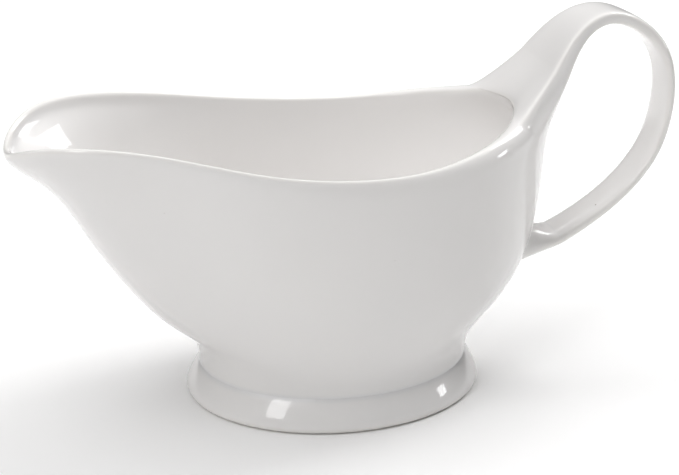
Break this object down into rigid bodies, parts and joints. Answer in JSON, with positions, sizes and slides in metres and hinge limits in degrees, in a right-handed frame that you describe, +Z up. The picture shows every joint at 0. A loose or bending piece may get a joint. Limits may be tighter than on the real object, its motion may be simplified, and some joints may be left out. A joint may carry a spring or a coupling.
{
  "type": "gravy boat",
  "caption": "Footed porcelain gravy boat with a long pouring lip, a sweeping rim and a high looped strap handle.",
  "frame": {"origin": "centre of the oval foot, on the surface that the boat stands on", "axes": "+Z up, +X towards the handle, -X towards the pouring lip, XZ is the plane of symmetry"},
  "size_m": [0.2234, 0.097, 0.1253],
  "materials": {
    "glazed_porcelain": "high-gloss clear glaze over a white body"
  },
  "bodies": {
    "root": {"bowl": "glazed_porcelain", "pedestal_foot": "glazed_porcelain", "strap_handle": "glazed_porcelain"}
  },
  "joints": []
}
